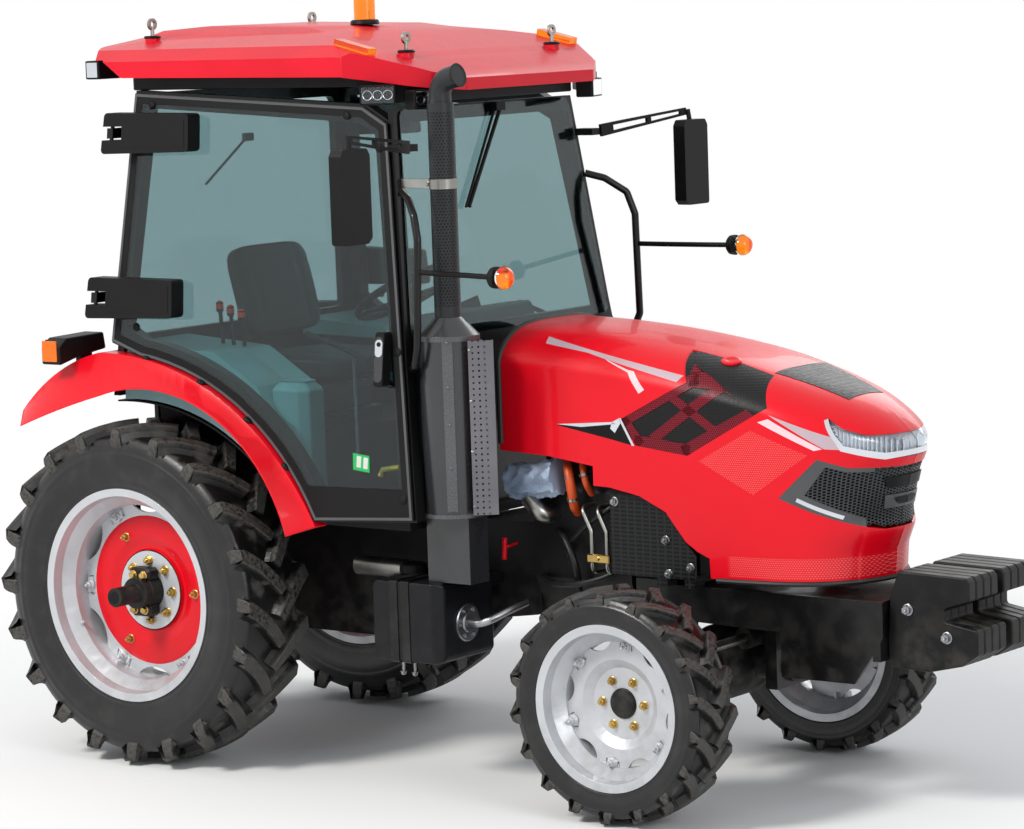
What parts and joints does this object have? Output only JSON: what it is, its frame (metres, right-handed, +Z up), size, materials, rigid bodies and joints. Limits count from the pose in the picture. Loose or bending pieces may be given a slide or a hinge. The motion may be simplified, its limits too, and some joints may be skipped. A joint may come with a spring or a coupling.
{
  "type": "farm tractor",
  "caption": "Compact cab tractor with steered driven front axle, hinged hood and glass doors, plate weights in front and a three-point linkage behind.",
  "frame": {"origin": "on the ground at the centre of the tractor's overall length and width", "axes": "+X forward, +Y to the tractor's left, +Z up"},
  "size_m": [3.9199, 2.108, 2.681],
  "materials": {
    "red_paint": "gloss",
    "red_moulding": "gloss",
    "black_paint": "semi-gloss",
    "black_casting": "painted, semi-gloss",
    "black_plastic": "matte",
    "grey_plastic": "matte",
    "teal_plastic": "satin",
    "tank_plastic": "satin",
    "tinted_glass": "clear, tinted",
    "lamp_lens": "clear over reflector",
    "amber_lens": "gloss",
    "red_lens": "gloss",
    "silver_paint": "satin metallic",
    "bare_steel": "machined",
    "seat_vinyl": "satin vinyl",
    "tyre_rubber": "matte"
  },
  "bodies": {
    "chassis": {"cab_frame": "black_paint", "cab_glass": "tinted_glass", "cab_floor": "black_plastic", "cab_consoles": "teal_plastic", "control_levers": "black_plastic", "seat_base": "black_paint", "seat_cushions": "seat_vinyl", "dashboard": "grey_plastic", "roof_shell": "red_moulding", "roof_liner": "black_plastic", "lifting_eyes": "bare_steel", "roof_beacons": "amber_lens", "muffler": "black_paint", "exhaust_stack": "black_paint", "heat_shield": "black_paint", "rear_fenders": "red_paint", "mirrors": "black_plastic", "turn_signals": "amber_lens", "handrails": "black_paint", "work_lamps": "black_plastic", "rear_lamps": "red_lens", "wipers": "black_plastic", "front_frame": "black_paint", "front_weights": "black_casting", "engine_block": "black_casting", "engine_pipes": "bare_steel", "side_guards": "black_paint", "transmission_case": "black_casting", "fuel_tank": "tank_plastic", "left_step": "black_paint", "hitch_frame": "black_casting", "front_axle_beam": "black_casting"},
    "steering_wheel": {"steering_wheel": "black_plastic"},
    "hood": {"hood_panel": "red_paint", "hood_grilles": "black_plastic", "headlamps": "lamp_lens"},
    "steering_rod": {"steering_rod": "bare_steel"},
    "pto_shaft": {"pto_shaft": "bare_steel"},
    "lift_arms": {"lift_arms": "black_casting"},
    "lower_links": {"lower_links": "black_casting"},
    "lift_rods": {"lift_rods": "black_casting"},
    "door_right": {"door_glass_right": "tinted_glass", "door_fittings_right": "black_plastic"},
    "knuckle_right": {"knuckle_right": "black_casting"},
    "front_wheel_right": {"front_rim_right": "silver_paint", "front_tyre_right": "tyre_rubber"},
    "rear_wheel_right": {"rear_rim_right": "silver_paint", "rear_disc_right": "red_paint", "rear_hub_right": "black_casting", "rear_tyre_right": "tyre_rubber"},
    "door_left": {"door_glass_left": "tinted_glass", "door_fittings_left": "black_plastic"},
    "knuckle_left": {"knuckle_left": "black_casting"},
    "front_wheel_left": {"front_rim_left": "silver_paint", "front_tyre_left": "tyre_rubber"},
    "rear_wheel_left": {"rear_rim_left": "silver_paint", "rear_disc_left": "red_paint", "rear_hub_left": "black_casting", "rear_tyre_left": "tyre_rubber"}
  },
  "joints": [
    {"name": "rear_wheel_right_spin", "type": "hinge", "parent": "chassis", "child": "rear_wheel_right", "pos_m": [-1.16, -0.631, 0.614], "axis": [0, 1, 0], "continuous": true},
    {"name": "rear_wheel_left_spin", "type": "hinge", "parent": "chassis", "child": "rear_wheel_left", "pos_m": [-1.16, 0.631, 0.614], "axis": [0, 1, 0], "continuous": true},
    {"name": "knuckle_right_steer", "type": "hinge", "parent": "chassis", "child": "knuckle_right", "pos_m": [0.89, -0.496, 0.43], "axis": [0, 0, 1], "range_deg": [-40, 40]},
    {"name": "knuckle_left_steer", "type": "hinge", "parent": "chassis", "child": "knuckle_left", "pos_m": [0.89, 0.496, 0.43], "axis": [0, 0, 1], "range_deg": [-40, 40]},
    {"name": "front_wheel_right_spin", "type": "hinge", "parent": "knuckle_right", "child": "front_wheel_right", "pos_m": [0.89, -0.642, 0.388], "axis": [0, 1, 0], "continuous": true},
    {"name": "front_wheel_left_spin", "type": "hinge", "parent": "knuckle_left", "child": "front_wheel_left", "pos_m": [0.89, 0.642, 0.388], "axis": [0, 1, 0], "continuous": true},
    {"name": "steering_rod_slide", "type": "slide", "parent": "chassis", "child": "steering_rod", "axis": [0, 1, 0], "range_m": [-0.1, 0.1]},
    {"name": "steering_wheel_turn", "type": "hinge", "parent": "chassis", "child": "steering_wheel", "pos_m": [-0.46, 0, 1.64], "axis": [-0.5, 0, 0.866], "range_deg": [-630, 630]},
    {"name": "pto_spin", "type": "hinge", "parent": "chassis", "child": "pto_shaft", "pos_m": [-1.375, 0, 0.59], "axis": [1, 0, 0], "continuous": true},
    {"name": "hood_lift", "type": "hinge", "parent": "chassis", "child": "hood", "pos_m": [0.28, 0, 1.5], "axis": [0, -1, 0], "range_deg": [0, 55]},
    {"name": "door_right_swing", "type": "hinge", "parent": "chassis", "child": "door_right", "pos_m": [-1.2374, -0.6495, 2.24], "axis": [-0.0736, -0.1301, -0.9888], "range_deg": [0, 75]},
    {"name": "door_left_swing", "type": "hinge", "parent": "chassis", "child": "door_left", "pos_m": [-1.2374, 0.6495, 2.24], "axis": [0.0736, -0.1301, 0.9888], "range_deg": [0, 75]},
    {"name": "lift_arms_raise", "type": "hinge", "parent": "chassis", "child": "lift_arms", "pos_m": [-1.21, 0, 0.93], "axis": [0, 1, 0], "range_deg": [-18, 30]},
    {"name": "lower_links_raise", "type": "hinge", "parent": "chassis", "child": "lower_links", "pos_m": [-1.1, 0, 0.4], "axis": [0, 1, 0], "range_deg": [-13.6, 22.6]},
    {"name": "lift_rods_pivot", "type": "hinge", "parent": "lower_links", "child": "lift_rods", "pos_m": [-1.56, 0, 0.4], "axis": [0, 1, 0], "range_deg": [-22.2, 13.4]}
  ],
  "couplings": [
    {"joint": "knuckle_left_steer", "follows": "knuckle_right_steer", "ratio": 1},
    {"joint": "steering_rod_slide", "follows": "knuckle_right_steer", "m_per_rad": 0.14},
    {"joint": "lower_links_raise", "follows": "lift_arms_raise", "ratio": 0.75},
    {"joint": "lift_rods_pivot", "follows": "lift_arms_raise", "ratio": -0.735}
  ]
}
